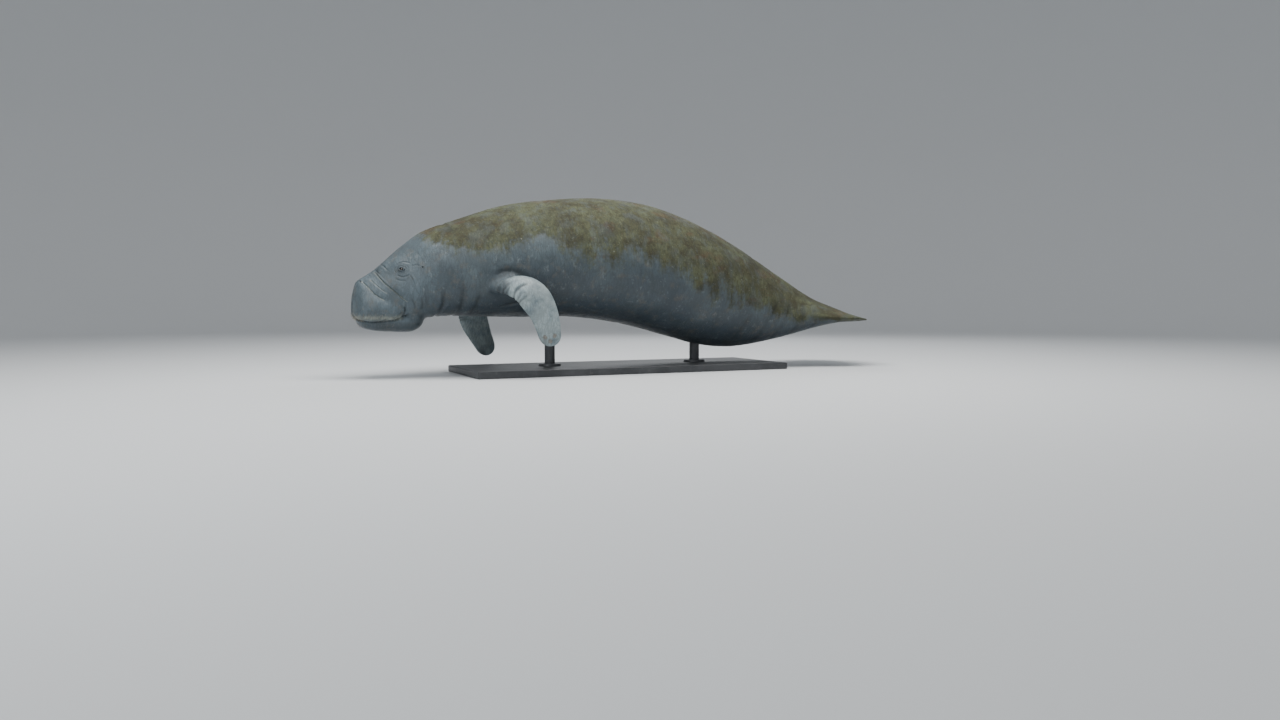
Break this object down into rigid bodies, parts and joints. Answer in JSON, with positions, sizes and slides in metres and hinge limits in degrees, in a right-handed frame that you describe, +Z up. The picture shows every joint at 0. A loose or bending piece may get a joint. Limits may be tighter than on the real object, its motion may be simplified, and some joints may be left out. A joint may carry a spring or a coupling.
{
  "type": "manatee model",
  "caption": "Life-size manatee swimming with an arched back, one flipper bent across its chest, on a low display stand.",
  "frame": {"origin": "middle of the underside of the stand's base, on the floor", "axes": "-X towards the snout, +X towards the tail, -Y the animal's left, +Z up"},
  "size_m": [3.0198, 0.8019, 0.94],
  "materials": {
    "hide": "thick wrinkled grey-brown hide with an algae film",
    "face": "bare blue-grey hide",
    "flipper": "bare pale grey hide",
    "eye": "wet dark eye",
    "nail": "worn horn",
    "stand": "dark satin paint"
  },
  "bodies": {
    "root": {"muzzle": "face", "head": "face", "lower_jaw": "face", "neck": "hide", "chest": "hide", "belly": "hide", "tail_stock": "hide", "tail_paddle": "hide", "flipper_left_arm": "flipper", "flipper_left_hand": "flipper", "flipper_right_arm": "flipper", "flipper_right_hand": "flipper", "eye_left": "eye", "eye_right": "eye", "nail_left_1": "nail", "nail_left_2": "nail", "nail_left_3": "nail", "nail_right_1": "nail", "nail_right_2": "nail", "nail_right_3": "nail", "stand_base": "stand", "stand_rod_front": "stand", "stand_rod_rear": "stand"}
  },
  "joints": []
}
